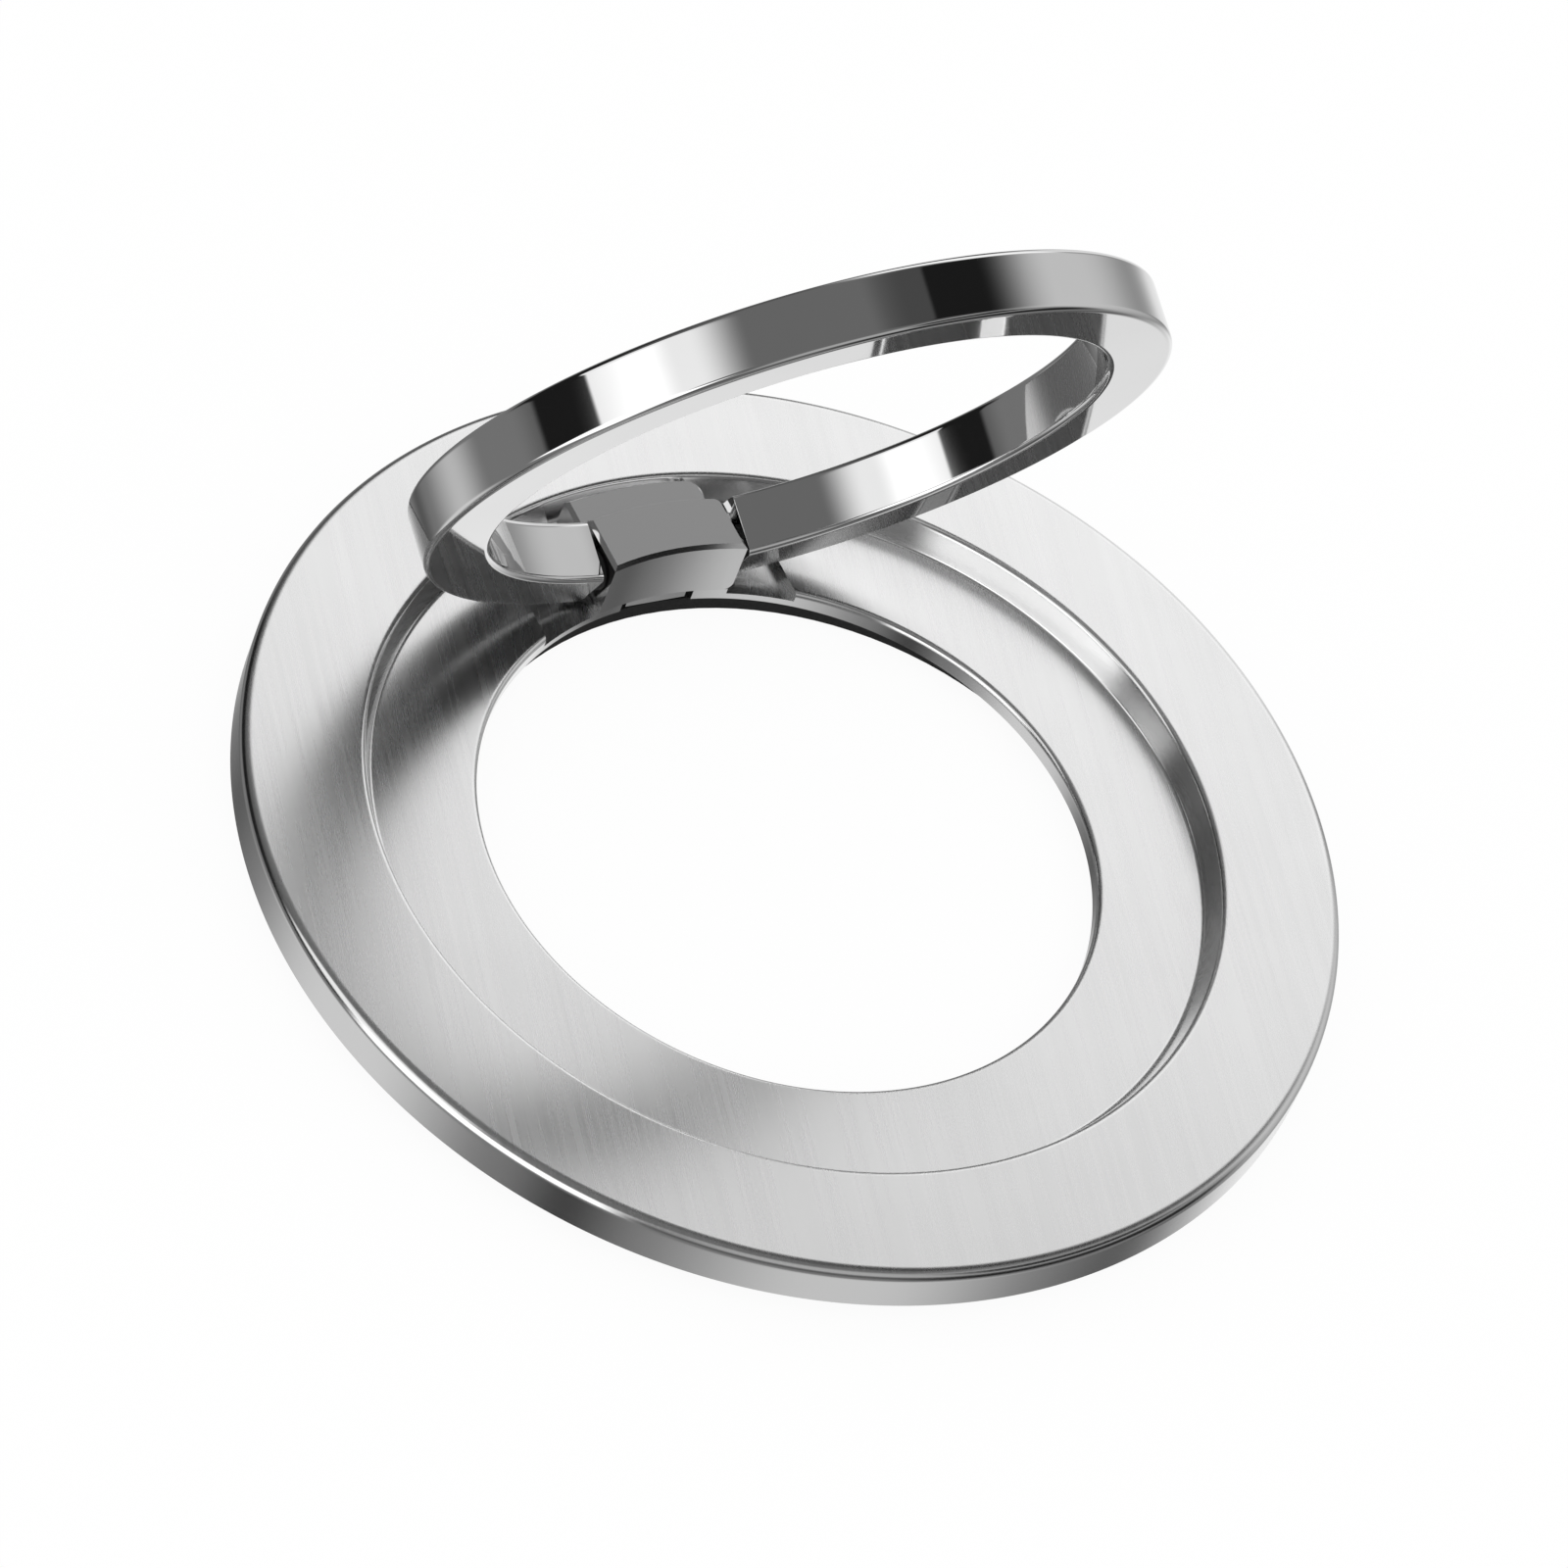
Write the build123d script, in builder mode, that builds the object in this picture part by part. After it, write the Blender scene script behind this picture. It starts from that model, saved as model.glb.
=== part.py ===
# Phone ring holder: a flat magnetic base with a brushed plate, an open centre and a
# polished finger ring that swings on a friction hinge at the edge of the opening.
# Millimetres, +Z up, underside of the backing pad at Z = 0, hinge on the +Y side.
import os
from math import cos, radians, sin, sqrt, tan

from build123d import *

# base plate
plate_dia = 58.0            # outer diameter of the rim
plate_t = 2.6               # rim height, underside to top
flange_t = 1.0              # thickness of the lowered inner flange
tier_gap = 0.27             # step of the rim behind the hinge block
hole_gap = 0.28             # edge of the opening outside the ring's bore
rim_edge_r = 0.55           # outer top edge
step_draft = 20.0           # degrees, slope of the step between rim and flange
step_edge_r = 0.35          # inner top edge of the rim
step_foot_r = 0.25          # foot of the step
hole_edge_r = 0.3           # top edge of the opening
foot_edge = 0.15            # lower outer edge

# backing under the plate
pad_t = 0.9                 # soft black pad
pad_inset = 1.4             # pad edge behind the plate's edge
pad_back = 1.6              # pad's opening outside the plate's opening
pad_hole_off = 1.46         # pad's opening set off centre, so the pad covers the hinge
film_t = 0.1                # double-sided film between pad and plate
film_inset = 0.3            # film edge behind the pad edge

# finger ring
ring_od = 39.12
ring_w = 3.44               # radial width of the band
ring_h = 3.3                # height of the band
ring_edge_r = 0.32
ring_float = 0.2            # gap above the flange when folded
ring_open = 69.0            # degrees up from folded, as shown
ring_end_edge = 0.12        # bevel on the cut ends

# hinge
pin_dia = 1.2
pin_in = 1.33               # hinge axis outside the ring's bore
pin_up = 1.15               # hinge axis above the folded ring's underside
pin_grip = 2.3              # pin length held in each ring end
pin_edge = 0.12
pin_fit = 0.03              # running clearance around the pin
block_l = 7.8               # hinge block, along the axis
end_gap = 0.4               # block side to ring end
washer_t = 0.3
washer_w = 0.42             # width of the washer around its bore
block_edge = 0.2            # bevel round the block's upper edges
block_corner_r = 0.6        # rounded corners on the block's +X side
step_w = 2.24               # lower tier behind the block
step_h = 2.35
step_corner_r = 0.85
tenon_l = 3.5               # tongue under the block
tenon_w = 1.5
tenon_lift = 0.15           # tongue end above the plate's underside
tenon_gap = 0.35            # notch side to tongue
tenon_corner_r = 0.4
post_over = 0.05            # land under the block, past the block's sides

# pockets for the ring ends
pocket_floor = 0.4
pocket_run = 3.1            # pocket length past the ring's cut end
pocket_clear = 0.12         # swept ring end to pocket wall
pocket_corner_r = 0.5

# screws holding the block
screw_dia = 1.4
screw_l = 2.1
screw_edge = 1.6            # screw axis inside the block's sides
screw_head_dia = 2.4
screw_head_t = 0.5
screw_slot_w = 0.3
screw_slot_t = 0.22
screw_fit = 0.02

# magnets
skin_t = 0.7                # plate left above the magnet groove
groove_wall_out = 1.7       # groove to the plate's outer face
groove_wall_in = 1.1        # groove to the step
magnet_count = 16
magnet_gap = 0.5            # between neighbours
magnet_fit = 0.1            # magnet to groove wall
magnet_lift = 0.05          # magnet face behind the plate's underside
shunt_t = 0.4

# derived levels and radii
plate_r = plate_dia / 2
ring_or = ring_od / 2
ring_ir = ring_or - ring_w
ring_mid_r = ring_or - ring_w / 2
step_or = ring_or + step_w
recess_r = step_or + tier_gap
hole_r = ring_ir + hole_gap
pad_r = plate_r - pad_inset
pad_hole_r = hole_r + pad_back
base_z = pad_t + film_t
rim_z = base_z + plate_t
flange_z = base_z + flange_t
step_top_r = recess_r + (rim_z - flange_z) * tan(radians(step_draft))
floor_z = base_z + pocket_floor
fold_z = flange_z + ring_float
pin_r = pin_dia / 2
pin_y = ring_ir + pin_in
pin_z = fold_z + pin_up
washer_r = pin_r + pin_fit + washer_w
block_top = fold_z + ring_h
block_half = block_l / 2
end_x = block_half + end_gap
heel_r = sqrt(ring_or**2 - end_x**2) - pin_y
toe_reach = sqrt(heel_r**2 + (ring_h - pin_up) ** 2)
pocket_half = end_x + pocket_run
pocket_back = pin_y + toe_reach + pocket_clear
notch_half = tenon_l / 2 + tenon_gap
post_out = block_half + post_over
groove_or = plate_r - groove_wall_out
groove_ir = recess_r + groove_wall_in
groove_z = rim_z - skin_t
shunt_z = groove_z - shunt_t
screw_x = block_half - screw_edge
screw_y = ring_or + step_w / 2

# directions of the raised ring
tilt = radians(ring_open)
ring_out = (0, cos(tilt), -sin(tilt))
ring_up = (0, sin(tilt), cos(tilt))
mid_rise = ring_h / 2 - pin_up
ring_c = (
    0,
    pin_y - pin_y * cos(tilt) + mid_rise * sin(tilt),
    pin_z + pin_y * sin(tilt) + mid_rise * cos(tilt),
)
hinge = (0, pin_y, pin_z)
section_plane = Plane(origin=ring_c, x_dir=ring_out, z_dir=(1, 0, 0))
ring_plane = Plane(origin=ring_c, x_dir=(1, 0, 0), z_dir=ring_up)
heel_plane = Plane(origin=hinge, x_dir=ring_out, z_dir=(1, 0, 0))
hinge_plane = Plane(origin=hinge, x_dir=(0, 1, 0), z_dir=(1, 0, 0))


def round_edges(solid, radius, height):
    """Full or part circles of one radius lying at one height."""
    return [
        e
        for e in solid.edges().filter_by(GeomType.CIRCLE)
        if abs(e.radius - radius) < 1e-4
        and abs(e.arc_center.Z - height) < 1e-4
        and abs(e.bounding_box().size.Z) < 1e-4
    ]


# base plate
with BuildPart() as base_plate:
    with BuildSketch(Plane.XY.offset(base_z)):
        Circle(plate_r)
        Circle(hole_r, mode=Mode.SUBTRACT)
    extrude(amount=plate_t)
    with Locations((0, 0, flange_z)):
        Cone(
            recess_r,
            step_top_r,
            rim_z - flange_z,
            align=(Align.CENTER, Align.CENTER, Align.MIN),
            mode=Mode.SUBTRACT,
        )
    fillet(round_edges(base_plate, plate_r, rim_z), rim_edge_r)
    fillet(round_edges(base_plate, step_top_r, rim_z), step_edge_r)
    fillet(round_edges(base_plate, recess_r, flange_z), step_foot_r)
    fillet(round_edges(base_plate, hole_r, flange_z), hole_edge_r)
    chamfer(round_edges(base_plate, plate_r, base_z), foot_edge)
    # annular groove for the magnets, open to the underside
    with BuildSketch(Plane.XY.offset(base_z)):
        Circle(groove_or)
        Circle(groove_ir, mode=Mode.SUBTRACT)
    extrude(amount=groove_z - base_z, mode=Mode.SUBTRACT)
    # pockets where the ring ends swing down, one each side of the block
    with BuildSketch(Plane.XY.offset(floor_z)) as pocket_plan:
        with Locations((0, pocket_back / 2)):
            Rectangle(2 * pocket_half, pocket_back)
        fillet(pocket_plan.vertices().group_by(Axis.Y)[-1], pocket_corner_r)
        with Locations((0, pocket_back / 2)):
            Rectangle(2 * post_out, pocket_back, mode=Mode.SUBTRACT)
    extrude(amount=plate_t, mode=Mode.SUBTRACT)
    # notch for the block's tongue
    with BuildSketch(Plane.XY.offset(base_z)) as notch_plan:
        notch_back = hole_r + tenon_w + tenon_gap
        with Locations((0, notch_back / 2)):
            Rectangle(2 * notch_half, notch_back)
        fillet(notch_plan.vertices().group_by(Axis.Y)[-1], tenon_corner_r)
    extrude(amount=plate_t, mode=Mode.SUBTRACT)
    # countersunk screw holes under the block
    with Locations((-screw_x, screw_y, base_z), (screw_x, screw_y, base_z)):
        Cylinder(
            screw_dia / 2 + screw_fit,
            flange_t,
            align=(Align.CENTER, Align.CENTER, Align.MIN),
            mode=Mode.SUBTRACT,
        )
        Cone(
            screw_head_dia / 2 + screw_fit,
            screw_dia / 2 + screw_fit,
            screw_head_t,
            align=(Align.CENTER, Align.CENTER, Align.MIN),
            mode=Mode.SUBTRACT,
        )

# lower tier behind the hinge block
with BuildPart() as tier:
    with BuildSketch(Plane.XY.offset(flange_z)) as tier_plan:
        Circle(step_or)
        Circle(ring_mid_r, mode=Mode.SUBTRACT)
        with Locations((0, ring_mid_r)):
            Rectangle(block_l, 4 * ring_w, mode=Mode.INTERSECT)
    extrude(amount=step_h)
    tier_side = tier.faces().sort_by(Axis.X)[-1]
    fillet(tier_side.edges().filter_by(Axis.Z).sort_by(Axis.Y)[-1:], step_corner_r)
    chamfer(tier.faces().sort_by(Axis.Z)[-1].edges(), block_edge)

# hinge block, continuing the ring's band when folded, with the tier joined behind it
with BuildPart() as hinge_block:
    with BuildSketch(Plane.XY.offset(flange_z)) as band_plan:
        Circle(ring_or)
        Circle(ring_ir, mode=Mode.SUBTRACT)
        with Locations((0, ring_mid_r)):
            Rectangle(block_l, 4 * ring_w, mode=Mode.INTERSECT)
    extrude(amount=block_top - flange_z)
    right = hinge_block.faces().sort_by(Axis.X)[-1]
    fillet(right.edges().filter_by(Axis.Z).sort_by(Axis.Y)[-1:], block_corner_r)
    foot = hinge_block.faces().filter_by(Axis.X).sort_by(Axis.X)[-1]
    fillet(foot.edges().filter_by(Axis.Y).sort_by(Axis.Z)[:1], block_corner_r)
    chamfer(hinge_block.faces().sort_by(Axis.Z)[-1].edges(), block_edge)
    add(tier.part)
    # tongue that drops into the notch of the plate
    with BuildSketch(Plane.XY.offset(base_z + tenon_lift)):
        with Locations((0, hole_r + tenon_w / 2)):
            Rectangle(tenon_l, tenon_w)
    extrude(amount=flange_z - base_z - tenon_lift)
    # bore for the pin
    with BuildSketch(hinge_plane):
        Circle(pin_r + pin_fit)
    extrude(amount=block_l, both=True, mode=Mode.SUBTRACT)
    # tapped holes
    with Locations((-screw_x, screw_y, flange_z), (screw_x, screw_y, flange_z)):
        Cylinder(
            screw_dia / 2 + screw_fit,
            screw_l - flange_t + screw_fit,
            align=(Align.CENTER, Align.CENTER, Align.MIN),
            mode=Mode.SUBTRACT,
        )

# finger ring, open at the hinge, raised
with BuildPart() as finger_ring:
    with BuildSketch(section_plane) as band:
        with Locations((ring_mid_r, 0)):
            Rectangle(ring_w, ring_h)
        fillet(band.vertices(), ring_edge_r)
    revolve(axis=Axis(ring_c, ring_up))
    with BuildSketch(ring_plane):
        with Locations((0, ring_mid_r)):
            Rectangle(2 * end_x, 2 * ring_w)
    extrude(amount=ring_h, both=True, mode=Mode.SUBTRACT)
    ends = finger_ring.faces().filter_by(Axis.X)
    chamfer([e for f in ends for e in f.outer_wire().edges()], ring_end_edge)
    # heels rounded about the hinge axis so the ends clear the pockets
    with BuildSketch(heel_plane):
        Rectangle(2 * ring_w, 2 * ring_h, align=(Align.MIN, Align.MAX))
        Circle(heel_r, mode=Mode.SUBTRACT)
    extrude(amount=pocket_half, both=True, mode=Mode.SUBTRACT)
    # blind holes gripping the pin
    with BuildSketch(hinge_plane):
        Circle(pin_r)
    extrude(amount=end_x + pin_grip, both=True, mode=Mode.SUBTRACT)

# hinge pin
with BuildPart() as hinge_pin:
    with BuildSketch(hinge_plane):
        Circle(pin_r)
    extrude(amount=end_x + pin_grip, both=True)
    chamfer(hinge_pin.edges().filter_by(GeomType.CIRCLE), pin_edge)

# friction washers between block and ring ends
with BuildPart() as friction_washers:
    for side in (-1, 1):
        with BuildSketch(hinge_plane.offset(side * (block_half + washer_t / 2))):
            Circle(washer_r)
            Circle(pin_r + pin_fit, mode=Mode.SUBTRACT)
        extrude(amount=washer_t / 2, both=True)

# screws
with BuildPart() as hinge_screws:
    with Locations((-screw_x, screw_y, base_z), (screw_x, screw_y, base_z)):
        Cone(
            screw_head_dia / 2,
            screw_dia / 2,
            screw_head_t,
            align=(Align.CENTER, Align.CENTER, Align.MIN),
        )
        Cylinder(screw_dia / 2, screw_l, align=(Align.CENTER, Align.CENTER, Align.MIN))
        Box(
            screw_head_dia,
            screw_slot_w,
            screw_slot_t,
            align=(Align.CENTER, Align.CENTER, Align.MIN),
            mode=Mode.SUBTRACT,
        )

# steel ring closing the magnetic circuit at the roof of the groove
with BuildPart() as shunt_ring:
    with BuildSketch(Plane.XY.offset(shunt_z)):
        Circle(groove_or - magnet_fit)
        Circle(groove_ir + magnet_fit, mode=Mode.SUBTRACT)
    extrude(amount=shunt_t)

# arc magnets under the rim
with BuildPart() as magnets:
    with BuildSketch(Plane.XY.offset(base_z + magnet_lift)):
        Circle(groove_or - magnet_fit)
        Circle(groove_ir + magnet_fit, mode=Mode.SUBTRACT)
        with PolarLocations((groove_or + groove_ir) / 2, magnet_count):
            Rectangle(2 * (groove_or - groove_ir), magnet_gap, mode=Mode.SUBTRACT)
    extrude(amount=shunt_z - base_z - magnet_lift)

# film and pad
with BuildPart() as adhesive_film:
    with BuildSketch(Plane.XY.offset(pad_t)):
        Circle(pad_r - film_inset)
        with Locations((0, -pad_hole_off)):
            Circle(pad_hole_r + film_inset, mode=Mode.SUBTRACT)
    extrude(amount=film_t)

with BuildPart() as backing_pad:
    with BuildSketch(Plane.XY):
        Circle(pad_r)
        with Locations((0, -pad_hole_off)):
            Circle(pad_hole_r, mode=Mode.SUBTRACT)
    extrude(amount=pad_t)

os.makedirs("parts", exist_ok=True)
base_plate.part.label = "base_plate"
export_step(base_plate.part, "parts/base_plate.step")
hinge_block.part.label = "hinge_block"
export_step(hinge_block.part, "parts/hinge_block.step")
finger_ring.part.label = "finger_ring"
export_step(finger_ring.part, "parts/finger_ring.step")
hinge_pin.part.label = "hinge_pin"
export_step(hinge_pin.part, "parts/hinge_pin.step")
friction_washers.part.label = "friction_washers"
export_step(friction_washers.part, "parts/friction_washers.step")
hinge_screws.part.label = "hinge_screws"
export_step(hinge_screws.part, "parts/hinge_screws.step")
shunt_ring.part.label = "shunt_ring"
export_step(shunt_ring.part, "parts/shunt_ring.step")
magnets.part.label = "magnets"
export_step(magnets.part, "parts/magnets.step")
adhesive_film.part.label = "adhesive_film"
export_step(adhesive_film.part, "parts/adhesive_film.step")
backing_pad.part.label = "backing_pad"
export_step(backing_pad.part, "parts/backing_pad.step")
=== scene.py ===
import math

import bmesh
import bpy
from mathutils import Matrix, Vector


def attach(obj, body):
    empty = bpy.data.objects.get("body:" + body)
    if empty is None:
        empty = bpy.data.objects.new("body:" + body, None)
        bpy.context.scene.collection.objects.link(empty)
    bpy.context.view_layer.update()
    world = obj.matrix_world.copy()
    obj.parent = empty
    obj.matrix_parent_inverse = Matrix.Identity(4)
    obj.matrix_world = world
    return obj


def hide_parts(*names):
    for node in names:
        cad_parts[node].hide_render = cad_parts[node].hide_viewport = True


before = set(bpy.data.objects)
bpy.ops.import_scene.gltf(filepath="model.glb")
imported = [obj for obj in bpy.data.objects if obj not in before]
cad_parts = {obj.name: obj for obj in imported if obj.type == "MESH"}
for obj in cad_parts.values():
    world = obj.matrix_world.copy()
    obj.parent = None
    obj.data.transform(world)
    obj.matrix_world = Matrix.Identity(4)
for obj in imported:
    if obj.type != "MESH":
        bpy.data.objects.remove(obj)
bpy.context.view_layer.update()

MM = 0.001
FLOAT, VECTOR = "NodeSocketFloat", "NodeSocketVector"

# The photograph's view: picture size and focal length in pixels, then the camera's place and turn.
PHOTO_PX = 1600
FOCAL_PX = 8517
SENSOR_MM = 36
CAMERA_AT = Vector((-198.73, -210.49, 312.90)) * MM
CAMERA_RIGHT = Vector((0.8678, -0.4157, 0.2722))
CAMERA_AHEAD = Vector((0.4681, 0.5002, -0.7285))

# Plate in mm, as the CAD has it: radii from its centre, heights from the pad's underside.
RIM_R, RIM_TOP, RIM_EDGE = 29.0, 3.6, 0.55
UNDERSIDE, FOOT_BEVEL = 1.0, 0.15
OPENING_R, OPENING_EDGE, FLANGE_TOP = 16.4, 0.3, 2.0
STEP_R, STEP_DRAFT, STEP_EDGE, STEP_FOOT = 22.07, math.radians(20), 0.35, 0.25
GROOVE_IN, GROOVE_OUT, GROOVE_TOP = 23.17, 27.3, 2.9
POCKET_X, POCKET_BACK, POCKET_FLOOR, POCKET_CORNER = (3.95, 7.4), 20.269, 1.4, 0.5
NOTCH_HALF, NOTCH_BACK, NOTCH_CORNER = 2.1, 18.25, 0.4
SCREW_X, SCREW_Y, SCREW_R, SCREW_TOP = 2.3, 20.68, 0.72, 2.6
BRUSH_ANGLE = math.radians(77)  # strokes from the hinge axis

# Ring in mm, as the CAD has it: a band about its own centre, and where the hinge holds it.
BAND_R, BAND_W, BAND_H, BAND_EDGE, CUT_EDGE = 17.84, 3.44, 3.3, 0.32, 0.12
GAP_HALF = 4.3
HEEL_R, HEEL_X = 1.6315, (4.2, 7.4)
PIN_R, PIN_X, PIN_BELOW = 0.6, (4.2, 6.6), 0.5
HINGE_Y, HINGE_Z = 17.45, 3.35
RING_OPEN = math.radians(69)

# How finely both are turned.
ROUND_SEGMENTS = 360
ARC_STEPS, HEEL_STEPS, DISC_STEPS = 10, 16, 40
CREASE = math.radians(32)


def fill(tree, node, inputs):
    """Sets a node's inputs to values or sockets; _ stands for a space, i0 for the first input."""
    for name, value in inputs.items():
        key = int(name[1:]) if name[0] == "i" and name[1:].isdigit() else name.replace("_", " ")
        if isinstance(value, bpy.types.NodeSocket):
            tree.links.new(value, node.inputs[key])
        else:
            node.inputs[key].default_value = value
    return node


def put(tree, kind, settings=None, **inputs):
    """A new node with its settings and inputs."""
    node = tree.nodes.new(kind)
    for name, value in (settings or {}).items():
        setattr(node, name, value)
    return fill(tree, node, inputs)


def use(tree, group, **inputs):
    """A node group placed in a material with its own values."""
    node = tree.nodes.new("ShaderNodeGroup")
    node.node_tree = group
    return fill(tree, node, inputs)


def maths(tree, operation, *values):
    """One Math node on values or sockets."""
    inputs = {f"i{n}": v for n, v in enumerate(values)}
    return put(tree, "ShaderNodeMath", {"operation": operation}, **inputs).outputs[0]


def added(tree, a, b):
    return maths(tree, "ADD", a, b)


def scaled(tree, value, by):
    return maths(tree, "MULTIPLY", value, by)


def ranged(tree, value, low, high, to_low=0.0, to_high=1.0):
    """A value eased from one range into another, or from 0 to 1."""
    node = put(
        tree,
        "ShaderNodeMapRange",
        {"interpolation_type": "SMOOTHSTEP"},
        Value=value,
        From_Min=low,
        From_Max=high,
        To_Min=to_low,
        To_Max=to_high,
    )
    return node.outputs[0]


def blended(tree, share, a, b):
    """a where share is 0 and b where it is 1."""
    return put(tree, "ShaderNodeMix", {"data_type": "FLOAT"}, i0=share, i2=a, i3=b).outputs[0]


def grey(tree, level):
    return put(tree, "ShaderNodeCombineColor", Red=level, Green=level, Blue=level).outputs[0]


def own_place(tree):
    """Where a point lies in the piece's own coordinates."""
    return put(tree, "ShaderNodeTexCoord").outputs["Object"]


def facing_up(tree):
    """How far the surface faces up, from -1 to 1."""
    normal = put(tree, "ShaderNodeNewGeometry").outputs["Normal"]
    return put(tree, "ShaderNodeSeparateXYZ", Vector=normal).outputs[2]


def new_group(name, inputs, outputs):
    """An empty shader node group with float or vector sockets."""
    tree = bpy.data.node_groups.new(name, "ShaderNodeTree")
    for socket, kind in inputs:
        tree.interface.new_socket(socket, in_out="INPUT", socket_type=kind)
    for socket, kind in outputs:
        tree.interface.new_socket(socket, in_out="OUTPUT", socket_type=kind)
    return tree, tree.nodes.new("NodeGroupInput").outputs, tree.nodes.new("NodeGroupOutput").inputs


def make_brush_grain():
    """Straight strokes: fine hairlines and broader bands, both drawn out along local Y."""
    tree, given, result = new_group(
        "brush_grain",
        [("Vector", VECTOR), ("Width", FLOAT), ("Length", FLOAT)],
        [("Hairlines", FLOAT), ("Bands", FLOAT)],
    )
    per_width = maths(tree, "DIVIDE", 1.0, given["Width"])
    per_length = maths(tree, "DIVIDE", 1.0, given["Length"])
    pace = put(tree, "ShaderNodeCombineXYZ", X=per_width, Y=per_length, Z=per_length).outputs[0]
    multiply = {"operation": "MULTIPLY"}
    drawn = put(tree, "ShaderNodeVectorMath", multiply, i0=given["Vector"], i1=pace).outputs[0]
    for name, scale, detail in (("Hairlines", 1.0, 1.0), ("Bands", 0.17, 2.0)):
        noise = put(tree, "ShaderNodeTexNoise", Vector=drawn, Scale=scale, Detail=detail, Roughness=0.5)
        tree.links.new(noise.outputs[0], result[name])
    return tree


def make_handling():
    """Faint cloudy smears, as left by wiping."""
    tree, given, result = new_group("handling", [("Vector", VECTOR), ("Size", FLOAT)], [("Smear", FLOAT)])
    cloud = put(
        tree,
        "ShaderNodeTexNoise",
        Vector=given["Vector"],
        Scale=maths(tree, "DIVIDE", 1.0, given["Size"]),
        Detail=3.0,
        Roughness=0.55,
    )
    tree.links.new(ranged(tree, cloud.outputs[0], 0.3, 0.75), result["Smear"])
    return tree


PANEL_SIZES = ("At Azimuth", "Half Width", "Side Edge", "Bottom", "Bottom Edge", "Top", "Top Edge")


def make_studio_panel():
    """How much of a rectangular studio panel lies in one direction of the dome, in degrees."""
    names = ("Azimuth", "Elevation", *PANEL_SIZES)
    tree, given, result = new_group("studio_panel", [(n, FLOAT) for n in names], [("Mask", FLOAT)])

    def edge(value, middle, spread, before, after):
        half = scaled(tree, spread, 0.5)
        low, high = maths(tree, "SUBTRACT", middle, half), added(tree, middle, half)
        return ranged(tree, value, low, high, before, after)

    turn = maths(tree, "SUBTRACT", given["Azimuth"], given["At Azimuth"])
    aside = maths(tree, "ABSOLUTE", maths(tree, "WRAP", turn, 180.0, -180.0))
    across = edge(aside, given["Half Width"], given["Side Edge"], 1.0, 0.0)
    above = edge(given["Elevation"], given["Bottom"], given["Bottom Edge"], 0.0, 1.0)
    below = edge(given["Elevation"], given["Top"], given["Top Edge"], 1.0, 0.0)
    tree.links.new(scaled(tree, across, scaled(tree, above, below)), result["Mask"])
    return tree


brush_grain = make_brush_grain()
handling = make_handling()
studio_panel = make_studio_panel()


def finish(name, **constants):
    """A material with one Principled shader, its constants set on the shader's own sockets."""
    material = bpy.data.materials.new(name)
    material.use_nodes = True
    tree = material.node_tree
    return material, tree, fill(tree, tree.nodes["Principled BSDF"], constants)


def toned(tree, shader, tone, rough):
    """Feeds a finish its grey and its roughness."""
    tree.links.new(grey(tree, tone), shader.inputs["Base Color"])
    tree.links.new(rough, shader.inputs["Roughness"])


def toothed(tree, shader, height, strength, depth_mm):
    """Gives a finish its fine relief."""
    bump = put(tree, "ShaderNodeBump", Strength=strength, Distance=depth_mm * MM, Height=height)
    tree.links.new(bump.outputs[0], shader.inputs["Normal"])


def metal_grain(tree, place):
    return put(tree, "ShaderNodeTexNoise", Vector=place, Scale=14000.0, Detail=2.0).outputs[0]


def brushed_plate():
    """Straight strokes on the flats; the walls are turned, so their gloss spreads upright."""
    tone, line_tone, band_tone = 0.86, 0.08, 0.06
    wall_rough, flat_rough, line_rough, smear_rough = 0.15, 0.26, 0.09, 0.02
    material, tree, shader = finish("brushed_plate", Metallic=1.0, Anisotropic=0.7)
    place = own_place(tree)
    about_z, angle = {"rotation_type": "Z_AXIS"}, math.pi / 2 - BRUSH_ANGLE
    lined_up = put(tree, "ShaderNodeVectorRotate", about_z, Vector=place, Angle=angle).outputs[0]
    strokes = use(tree, brush_grain, Vector=lined_up, Width=0.16 * MM, Length=16 * MM).outputs
    smear = use(tree, handling, Vector=place, Size=9 * MM).outputs[0]

    level = maths(tree, "ABSOLUTE", facing_up(tree))
    flat = ranged(tree, level, 0.35, 0.9)
    across = Vector((math.sin(BRUSH_ANGLE), -math.cos(BRUSH_ANGLE), 0))
    tangent = put(tree, "ShaderNodeMix", {"data_type": "VECTOR"}, i0=flat, i4=(0, 0, 1), i5=across)
    tree.links.new(tangent.outputs[1], shader.inputs["Tangent"])

    lines = scaled(tree, maths(tree, "SUBTRACT", strokes["Hairlines"], 0.5), flat)
    bands = scaled(tree, maths(tree, "SUBTRACT", strokes["Bands"], 0.5), flat)
    drawn = added(tree, scaled(tree, lines, line_tone), scaled(tree, bands, band_tone))
    worn = added(tree, scaled(tree, lines, line_rough), scaled(tree, smear, smear_rough))
    on_top = ranged(tree, level, 0.80, 0.985)
    rough = added(tree, blended(tree, on_top, wall_rough, flat_rough), worn)
    toned(tree, shader, added(tree, tone, drawn), rough)
    toothed(tree, shader, lines, strength=0.04, depth_mm=0.01)
    return material


def polished(name, tone, rough):
    """Mirror metal with faint wiping smears."""
    smear_tone, smear_rough = -0.02, 0.012
    material, tree, shader = finish(name, Metallic=1.0)
    smear = use(tree, handling, Vector=own_place(tree), Size=6 * MM).outputs[0]
    tone = added(tree, tone, scaled(tree, smear, smear_tone))
    toned(tree, shader, tone, added(tree, rough, scaled(tree, smear, smear_rough)))
    return material


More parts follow.
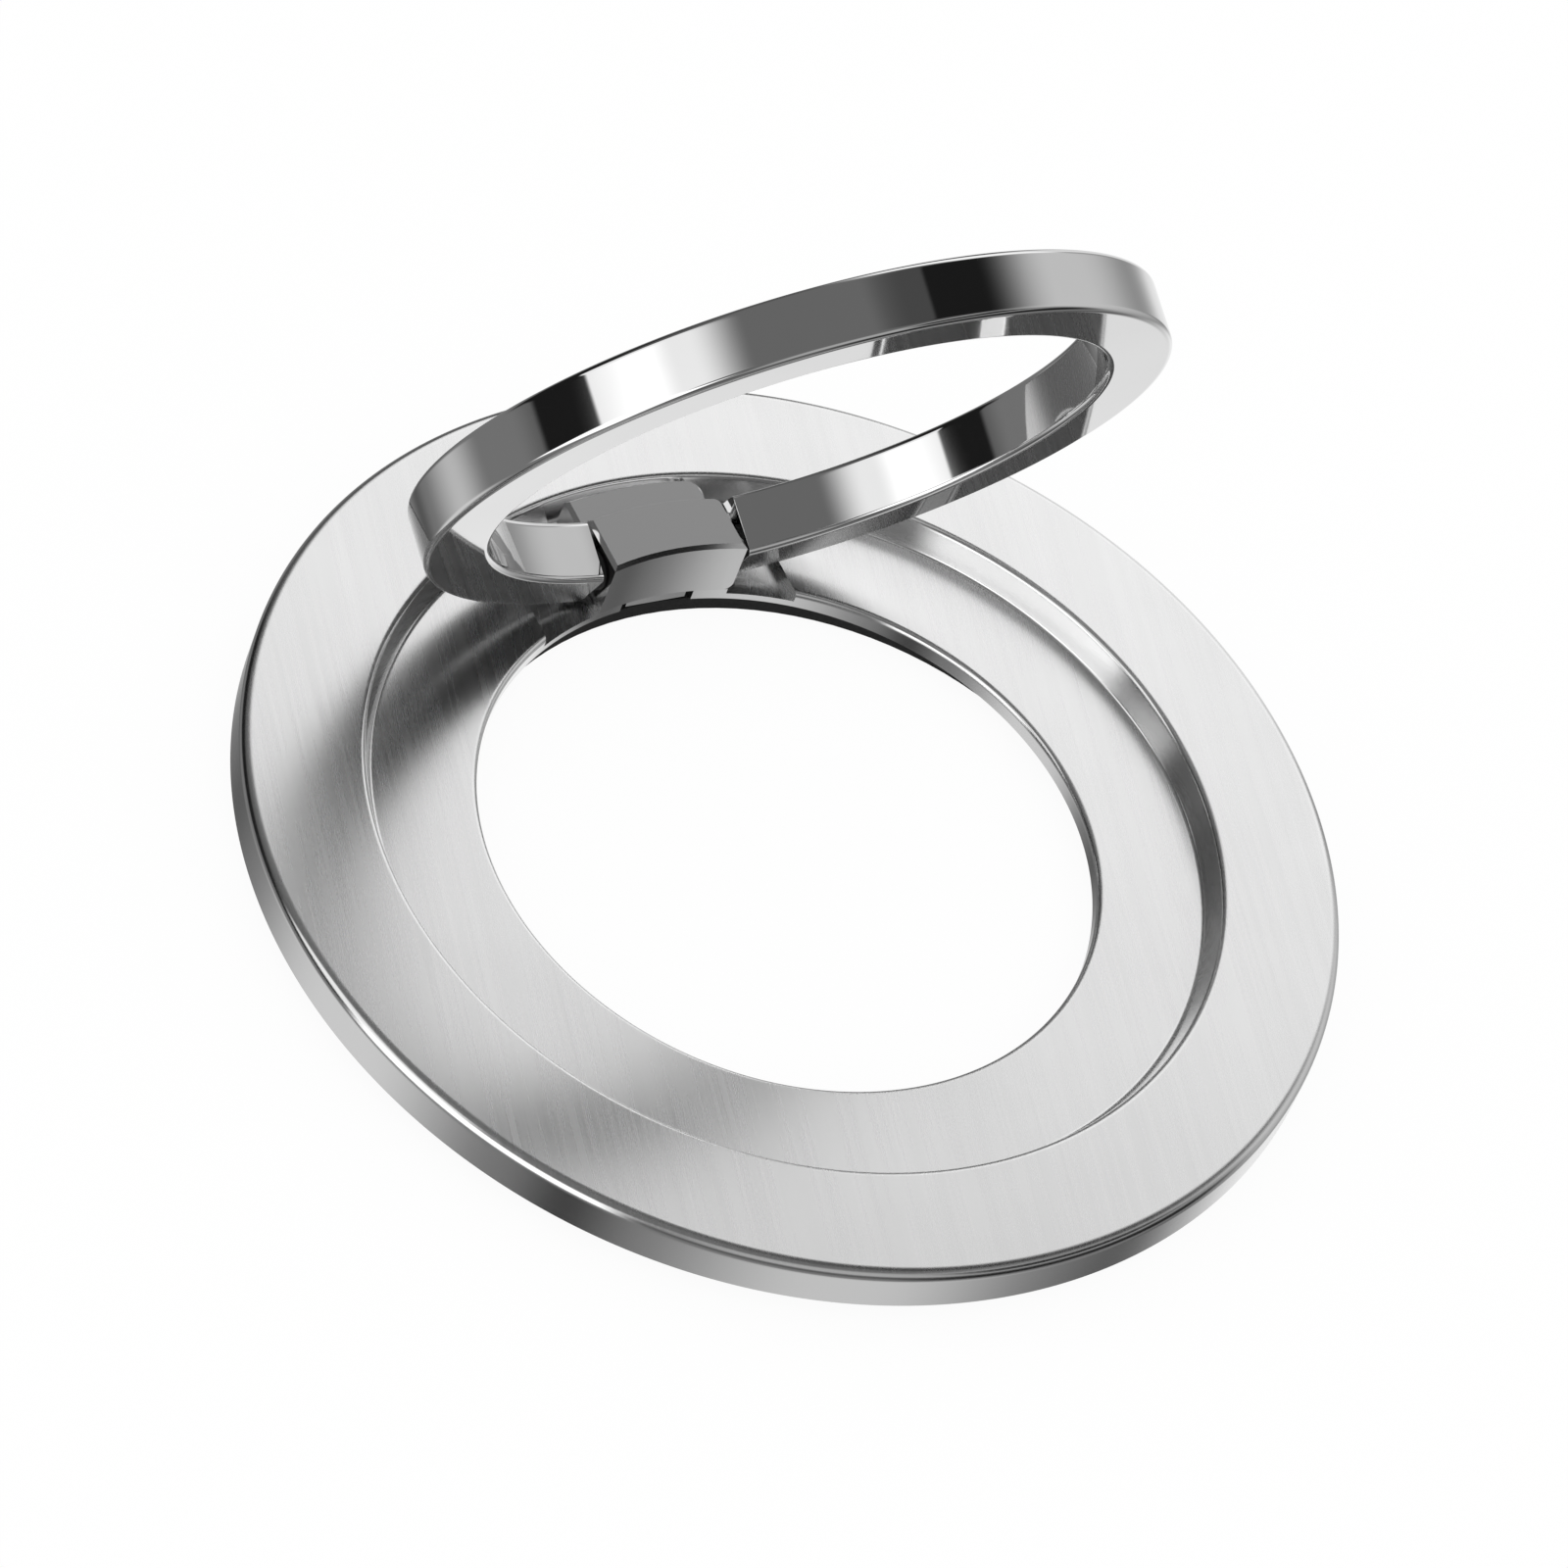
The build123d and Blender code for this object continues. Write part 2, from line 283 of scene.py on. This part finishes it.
def satin(name, tone, rough):
    """Fine blasted metal."""
    grain_tone, smear_tone, grain_rough = 0.03, -0.02, 0.05
    material, tree, shader = finish(name, Metallic=1.0)
    place = own_place(tree)
    grain = metal_grain(tree, place)
    smear = use(tree, handling, Vector=place, Size=4 * MM).outputs[0]
    mottle = added(tree, scaled(tree, grain, grain_tone), scaled(tree, smear, smear_tone))
    toned(tree, shader, added(tree, tone, mottle), added(tree, rough, scaled(tree, grain, grain_rough)))
    toothed(tree, shader, grain, strength=0.1, depth_mm=0.005)
    return material


def block_steel():
    """Rougher on top and glossier on its sides, with the top painted a far darker grey than the sides as
    painted shade.
    """
    # The top grey is painted shade on the faces that point up, not a colour of the steel.
    side_tone, shaded_top_tone, grain_tone = 0.80, 0.25, 0.03
    side_rough, top_rough, grain_rough = 0.12, 0.24, 0.04
    material, tree, shader = finish("satin_block", Metallic=1.0)
    grain = metal_grain(tree, own_place(tree))
    top = ranged(tree, facing_up(tree), 0.75, 0.95)
    # Painted shade: faces that point up take the darker top grey.
    tone = added(tree, blended(tree, top, side_tone, shaded_top_tone), scaled(tree, grain, grain_tone))
    rough = added(tree, blended(tree, top, side_rough, top_rough), scaled(tree, grain, grain_rough))
    toned(tree, shader, tone, rough)
    return material


def dull(name, tone, rough, grain_scale, depth_mm):
    """Soft or moulded material with a fine tooth."""
    material, tree, shader = finish(name)
    noise = put(tree, "ShaderNodeTexNoise", Vector=own_place(tree), Scale=grain_scale, Detail=3.0)
    grain = noise.outputs[0]
    tone = scaled(tree, tone, ranged(tree, grain, 0.2, 0.8, 0.75, 1.25))
    toned(tree, shader, tone, added(tree, rough, scaled(tree, grain, 0.1)))
    toothed(tree, shader, grain, strength=0.4, depth_mm=depth_mm)
    return material


FINISHES = {
    "base_plate": brushed_plate(),
    "finger_ring": polished("polished_ring", tone=0.84, rough=0.035),
    "hinge_block": block_steel(),
    "hinge_pin": polished("pin_steel", tone=0.62, rough=0.16),
    "hinge_screws": satin("screw_steel", tone=0.50, rough=0.28),
    "shunt_ring": satin("shunt_steel", tone=0.45, rough=0.35),
    "magnets": polished("magnet_plating", tone=0.66, rough=0.14),
    "friction_washers": dull("washer_plastic", tone=0.03, rough=0.45, grain_scale=9000.0, depth_mm=0.004),
    "adhesive_film": dull("film", tone=0.02, rough=0.5, grain_scale=6000.0, depth_mm=0.004),
    "backing_pad": dull("black_pad", tone=0.012, rough=0.75, grain_scale=4500.0, depth_mm=0.015),
}
for node_name, node_finish in FINISHES.items():
    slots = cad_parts[node_name].data.materials
    slots.clear()
    slots.append(node_finish)


def linked(name, data):
    """A new object in the scene."""
    piece = bpy.data.objects.new(name, data)
    bpy.context.scene.collection.objects.link(piece)
    return piece


def loose(name, verts, edges=(), faces=()):
    """A helper object in mm that the node tree reads."""
    data = bpy.data.meshes.new(name)
    data.from_pydata([tuple(v) for v in verts], list(edges), list(faces))
    return linked(name, data)


def rounded(corners, lead=0.0):
    """A closed outline in mm; each corner is (x, y) or (x, y, radius).

    A lead adds a short edge on the flat before and after each arc, which keeps the flats' shading flat.
    """
    line = []
    for n, corner in enumerate(corners):
        here = Vector(corner[:2])
        radius = corner[2] if len(corner) > 2 else 0.0
        if not radius:
            line.append(here)
            continue
        before = (Vector(corners[n - 1][:2]) - here).normalized()
        after = (Vector(corners[(n + 1) % len(corners)][:2]) - here).normalized()
        half = before.angle(after) / 2
        run = radius / math.tan(half)
        middle = here + (before + after).normalized() * (radius / math.sin(half))
        start = here + before * run - middle
        turn = (here + after * run - middle).angle_signed(start)
        if lead:
            line.append(here + before * (run + lead))
        for k in range(ARC_STEPS + 1):
            cos, sin = math.cos(turn * k / ARC_STEPS), math.sin(turn * k / ARC_STEPS)
            line.append(middle + Vector((start.x * cos - start.y * sin, start.x * sin + start.y * cos)))
        if lead:
            line.append(here + after * (run + lead))
    return line


def swept_outline(name, corners, radius):
    """A section in (radius, height) as loose edges, written as a sweep round a circle reads it."""
    line = [(p.x - radius, -p.y, 0) for p in reversed(rounded(corners, lead=0.04))]
    return loose(name, line, [(k, (k + 1) % len(line)) for k in range(len(line))])


def upright(x, y, h):
    return (x, y, h)


def along_x(y, z, h):
    return (h, y, z)


def prism(line, low, high, place):
    """Closed prism over an outline; place turns (x, y, height) into a point."""
    count = len(line)
    verts = [place(*p, low) for p in line] + [place(*p, high) for p in line]
    sides = [(k, (k + 1) % count, count + (k + 1) % count, count + k) for k in range(count)]
    return verts, [tuple(range(count - 1, -1, -1)), tuple(range(count, 2 * count)), *sides]


def disc(x, y, radius):
    turns = [math.tau * k / DISC_STEPS for k in range(DISC_STEPS)]
    return [(x + radius * math.cos(a), y + radius * math.sin(a)) for a in turns]


def both_sides(near, far):
    """The same stretch of X on each side of the hinge."""
    return (-far, -near), (near, far)


def joined(name, solids):
    """Several closed solids in one helper object, with their faces pointing outwards."""
    verts, faces = [], []
    for some_verts, some_faces in solids:
        faces += [tuple(i + len(verts) for i in f) for f in some_faces]
        verts += some_verts
    piece = loose(name, verts, faces=faces)
    shape = bmesh.new()
    shape.from_mesh(piece.data)
    bmesh.ops.recalc_face_normals(shape, faces=shape.faces)
    shape.to_mesh(piece.data)
    shape.free()
    return piece


def make_turned_tree():
    """A profile swept round a circle, less its cutters, with creases where faces meet sharply."""
    tree = bpy.data.node_groups.new("turned_piece", "GeometryNodeTree")
    sockets = [
        ("Geometry", "NodeSocketGeometry"),
        ("Profile", "NodeSocketObject"),
        ("Cutters", "NodeSocketObject"),
        ("Radius", "NodeSocketFloat"),
        ("Segments", "NodeSocketInt"),
        ("Crease", "NodeSocketFloat"),
        ("Finish", "NodeSocketMaterial"),
    ]
    for name, kind in sockets:
        tree.interface.new_socket(name, in_out="INPUT", socket_type=kind)
    tree.interface.new_socket("Geometry", in_out="OUTPUT", socket_type="NodeSocketGeometry")
    given = tree.nodes.new("NodeGroupInput").outputs

    def step(kind, settings=None, **inputs):
        return put(tree, kind, settings, **inputs).outputs[0]

    profile = put(tree, "GeometryNodeObjectInfo", Object=given["Profile"]).outputs["Geometry"]
    cutters = put(tree, "GeometryNodeObjectInfo", Object=given["Cutters"]).outputs["Geometry"]
    section = step("GeometryNodeMeshToCurve", i0=profile)
    circle = step("GeometryNodeCurvePrimitiveCircle", Resolution=given["Segments"], Radius=given["Radius"])
    swept = step("GeometryNodeCurveToMesh", i0=circle, Profile_Curve=section)
    less = {"operation": "DIFFERENCE", "solver": "EXACT"}
    cut = step("GeometryNodeMeshBoolean", less, i0=swept, i1=cutters, Self_Intersection=True)
    soft = step("GeometryNodeSetShadeSmooth", {"domain": "FACE"}, i0=cut)
    over = {"data_type": "FLOAT", "operation": "GREATER_THAN"}
    sharp = step("FunctionNodeCompare", over, i0=step("GeometryNodeInputMeshEdgeAngle"), i1=given["Crease"])
    at_edges = {"domain": "EDGE"}
    creased = step("GeometryNodeSetShadeSmooth", at_edges, i0=soft, Selection=sharp, Shade_Smooth=False)
    real = step("GeometryNodeRealizeInstances", i0=creased)
    painted = step("GeometryNodeSetMaterial", i0=real, Material=given["Finish"])
    tree.links.new(painted, tree.nodes.new("NodeGroupOutput").inputs[0])
    return tree


def turned(name, tree, profile, cutters, radius, material, place):
    """Runs the tree, places its result in metres and drops the helpers."""
    seed = loose(name + "_seed", [])
    tool = seed.modifiers.new("turned", "NODES")
    tool.node_group = tree
    values = {
        "Profile": profile,
        "Cutters": cutters,
        "Radius": radius,
        "Segments": ROUND_SEGMENTS,
        "Crease": CREASE,
        "Finish": material,
    }
    for item in tree.interface.items_tree:
        if item.in_out == "INPUT" and item.name in values:
            tool[item.identifier] = values[item.name]
    shown = seed.evaluated_get(bpy.context.evaluated_depsgraph_get())
    data = bpy.data.meshes.new_from_object(shown)
    data.name = name
    data.transform(Matrix.Scale(MM, 4) @ place)
    for helper in (seed, profile, cutters):
        bpy.data.objects.remove(helper)
    return linked(name, data)


def eased(piece, width):
    """Takes the keenness off the cut edges."""
    tool = piece.modifiers.new("eased", "BEVEL")
    tool.width = width
    tool.segments = 2
    tool.limit_method = "ANGLE"
    tool.angle_limit = math.radians(50)
    shown = piece.evaluated_get(bpy.context.evaluated_depsgraph_get())
    data = bpy.data.meshes.new_from_object(shown)
    piece.modifiers.remove(tool)
    piece.data = data
    return piece


def remake_plate(tree, material):
    """The plate's section swept round, less the pockets, the notch and the screw holes."""
    sweep_r = 22.0
    inside, low, high = 10.0, 0.5, 4.5  # the cutters run out past the metal to here
    step_top = STEP_R + (RIM_TOP - FLANGE_TOP) * math.tan(STEP_DRAFT)
    section = [
        (RIM_R - FOOT_BEVEL, UNDERSIDE),
        (RIM_R, UNDERSIDE + FOOT_BEVEL),
        (RIM_R, RIM_TOP, RIM_EDGE),
        (step_top, RIM_TOP, STEP_EDGE),
        (STEP_R, FLANGE_TOP, STEP_FOOT),
        (OPENING_R, FLANGE_TOP, OPENING_EDGE),
        (OPENING_R, UNDERSIDE),
        (GROOVE_IN, UNDERSIDE),
        (GROOVE_IN, GROOVE_TOP),
        (GROOVE_OUT, GROOVE_TOP),
        (GROOVE_OUT, UNDERSIDE),
    ]
    profile = swept_outline("plate_profile", section, sweep_r)
    near, far = POCKET_X
    pocket = rounded([(near, inside), (far, inside), (far, POCKET_BACK, POCKET_CORNER), (near, POCKET_BACK)])
    notch = rounded([
        (-NOTCH_HALF, inside),
        (NOTCH_HALF, inside),
        (NOTCH_HALF, NOTCH_BACK, NOTCH_CORNER),
        (-NOTCH_HALF, NOTCH_BACK, NOTCH_CORNER),
    ])
    cuts = [
        prism(pocket, POCKET_FLOOR, high, upright),
        prism([(-x, y) for x, y in pocket], POCKET_FLOOR, high, upright),
        prism(notch, low, high, upright),
    ]
    cuts += [prism(disc(x, SCREW_Y, SCREW_R), low, SCREW_TOP, upright) for x in (-SCREW_X, SCREW_X)]
    cutters = joined("plate_cutters", cuts)
    return turned("plate_body", tree, profile, cutters, sweep_r, material, Matrix.Identity(4))


def remake_ring(tree, material):
    """The ring's band swept round, cut open at the hinge, with its heels rounded about the pin."""
    inside, outside, deep, past = 10, 26, 5, 7  # the cutters run out past the metal to here
    half_w, half_h = BAND_W / 2, BAND_H / 2
    section = [
        (half_w, -half_h, BAND_EDGE),
        (half_w, half_h, BAND_EDGE),
        (-half_w, half_h, BAND_EDGE),
        (-half_w, -half_h, BAND_EDGE),
    ]
    profile = swept_outline("ring_profile", section, 0.0)
    pin = Vector((HINGE_Y, -PIN_BELOW))
    turns = [math.pi / 2 * k / HEEL_STEPS for k in range(HEEL_STEPS + 1)]
    heel = [pin + HEEL_R * Vector((math.sin(a), -math.cos(a))) for a in turns]
    heel += [pin + Vector((past, 0)), pin + Vector((past, -past)), pin + Vector((0, -past))]
    gap = [(-GAP_HALF, inside), (GAP_HALF, inside), (GAP_HALF, outside), (-GAP_HALF, outside)]
    cuts = [prism(gap, -deep, deep, upright)]
    cuts += [prism(heel, *side, along_x) for side in both_sides(*HEEL_X)]
    cuts += [prism(disc(pin.x, pin.y, PIN_R), *side, along_x) for side in both_sides(*PIN_X)]
    cutters = joined("ring_cutters", cuts)

    outward = Vector((0, math.cos(RING_OPEN), -math.sin(RING_OPEN)))
    upward = Vector((0, math.sin(RING_OPEN), math.cos(RING_OPEN)))
    place = Matrix((Vector((1, 0, 0)), outward, upward)).transposed().to_4x4()
    place.translation = Vector((0, HINGE_Y, HINGE_Z)) - outward * pin.x - upward * pin.y
    return eased(turned("ring_band", tree, profile, cutters, BAND_R, material, place), CUT_EDGE * MM)


turned_tree = make_turned_tree()
plate_body = remake_plate(turned_tree, FINISHES["base_plate"])
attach(plate_body, "base")
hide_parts("base_plate")
ring_band = remake_ring(turned_tree, FINISHES["finger_ring"])
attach(ring_band, "ring")
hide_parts("finger_ring")


def staged(name, data, material):
    """A mesh of the studio, which isn't part of the object."""
    data.materials.append(material)
    piece = linked(name, data)
    return piece


def studio_floor():
    """Plain white floor under the pad, there for the eye and for soft light."""
    half, drop = 4.0, -0.02 * MM
    white, lift = 0.97, 0.94
    material, tree, shader = finish(
        "floor_white", Base_Color=(white, white, white, 1), Roughness=0.9, Specular_IOR_Level=0.0
    )
    ray = put(tree, "ShaderNodeLightPath").outputs
    mirrored = maths(tree, "MAXIMUM", ray["Is Glossy Ray"], ray["Is Transmission Ray"])
    seen = maths(tree, "MAXIMUM", ray["Is Camera Ray"], mirrored)
    paper = put(tree, "ShaderNodeEmission", Color=(1, 1, 1, 1), Strength=1.0).outputs[0]
    lifted = put(tree, "ShaderNodeMixShader", i0=scaled(tree, seen, lift), i1=shader.outputs[0], i2=paper)
    tree.links.new(lifted.outputs[0], tree.nodes["Material Output"].inputs["Surface"])
    data = bpy.data.meshes.new("studio_floor")
    corners = [(-half, -half, drop), (half, -half, drop), (half, half, drop), (-half, half, drop)]
    data.from_pydata(corners, [], [(0, 1, 2, 3)])
    floor = staged("studio_floor", data, material)
    # Seen in the metal, the floor makes the plate's wall white on white. The dome's low panels are
    # mirrored in its place, so the glossy ray above has no effect until this line goes.
    floor.visible_glossy = False


# Panels and flags on the dome, each laid over the ones before it. In degrees: azimuth, half width, side
# edge, bottom, bottom edge, top, top edge; then the level, where 1 is white.
FLAG = 0.012
LOW = (-78, 10, -34, 16)
PANELS = [
    ("key_low", 38, 12, 12, -70, 20, 24, 24, 0.80),
    ("key", 44, 31, 14, 20, 10, 53, 14, 1.12),
    ("right_gradient", -2, 22, 20, -20, 70, 50, 30, 0.60),
    ("overhead_fade", -4, 50, 40, 64, 6, 82, 14, 0.07),
    ("right_flag", -2, 24, 12, 40, 26, 69, 1.5, FLAG),
    ("left_box", 171, 22, 6, 13, 1.5, 51, 16, 0.97),
    ("side_box", 198, 27, 8, -14, 8, 34, 10, 1.4),
    ("left_flag", 148, 21, 6, -5, 2.5, 13, 1.5, FLAG),
    ("back_flag", 120, 24, 14, -9, 6, 22, 10, FLAG),
    ("front_box", -75, 48, 30, 14, 12, 48, 20, 0.42),
    ("front_flag", -55, 28, 16, -18, 8, 5, 6, FLAG),
    ("bevel_flag", -52, 20, 12, 20, 8, 41, 8, FLAG),
    ("low_left", 156, 26, 36, *LOW, 0.68),
    ("low_front", -86, 27, 44, *LOW, 0.62),
    ("low_right", 30, 32, 40, *LOW, 0.92),
    ("low_dark_left", -145, 8, 16, *LOW, 0.05),
    ("low_dark_right", -26, 8, 16, *LOW, 0.10),
    ("low_dark_back", 98, 8, 16, *LOW, 0.10),
]
# Only for what the metal mirrors by way of other metal: keeps the ring's image in the plate dark.
INNER_FLAG = ("inner_flag", -55, 28, 16, -4, 8, 42, 10, FLAG)


def studio_dome():
    """The panels and flags that the metal mirrors. Only reflections see it."""
    radius = 1.2
    low_level, high_level, under_level = 0.10, 0.15, 0.19
    material = bpy.data.materials.new("studio_dome")
    material.use_nodes = True
    material.cycles.emission_sampling = "NONE"
    tree = material.node_tree
    tree.nodes.clear()
    unit = {"operation": "NORMALIZE"}
    aim = put(tree, "ShaderNodeVectorMath", unit, i0=own_place(tree)).outputs[0]
    x, y, z = put(tree, "ShaderNodeSeparateXYZ", Vector=aim).outputs
    elevation = maths(tree, "DEGREES", maths(tree, "ARCSINE", z))
    azimuth = maths(tree, "DEGREES", maths(tree, "ARCTAN2", y, x))

    def covered(name, *sizes):
        mask = use(tree, studio_panel, Azimuth=azimuth, Elevation=elevation, **dict(zip(PANEL_SIZES, sizes)))
        mask.label = name
        return mask.outputs[0]

    level = ranged(tree, elevation, 25.0, 50.0, low_level, high_level)
    level = blended(tree, ranged(tree, elevation, -2.0, -14.0), level, under_level)
    for *panel, strength in PANELS:
        level = blended(tree, covered(*panel), level, strength)
    *panel, strength = INNER_FLAG
    depth = put(tree, "ShaderNodeLightPath").outputs["Glossy Depth"]
    mirrored_twice = maths(tree, "GREATER_THAN", depth, 1.5)
    level = blended(tree, scaled(tree, covered(*panel), mirrored_twice), level, strength)

    light = put(tree, "ShaderNodeEmission", Color=grey(tree, level), Strength=1.0).outputs[0]
    tree.links.new(light, tree.nodes.new("ShaderNodeOutputMaterial").inputs["Surface"])

    shell = bmesh.new()
    bmesh.ops.create_icosphere(shell, subdivisions=5, radius=radius)
    data = bpy.data.meshes.new("studio_dome")
    shell.to_mesh(data)
    shell.free()
    dome = staged("studio_dome", data, material)
    for ray in ("camera", "diffuse", "transmission", "volume_scatter", "shadow"):
        setattr(dome, f"visible_{ray}", False)


def studio_world():
    """Even white light all round."""
    world = bpy.data.worlds.new("studio_world")
    bpy.context.scene.world = world
    world.use_nodes = True
    sky = world.node_tree.nodes["Background"]
    sky.inputs["Color"].default_value = (1, 1, 1, 1)
    sky.inputs["Strength"].default_value = 1.0


def photo_camera():
    """The camera of the photograph, from its fitted place and directions."""
    data = bpy.data.cameras.new("photo_camera")
    data.sensor_width = SENSOR_MM
    data.lens = SENSOR_MM * FOCAL_PX / PHOTO_PX
    data.clip_start = 0.01
    data.clip_end = 20
    camera = linked("photo_camera", data)
    back = -CAMERA_AHEAD.normalized()
    up = back.cross(CAMERA_RIGHT).normalized()
    right = up.cross(back)
    turn = Matrix((right, up, back)).transposed().to_4x4()
    turn.translation = CAMERA_AT
    camera.matrix_world = turn
    bpy.context.scene.camera = camera


studio_floor()
studio_dome()
studio_world()
photo_camera()
bpy.context.scene.view_settings.view_transform = "Standard"
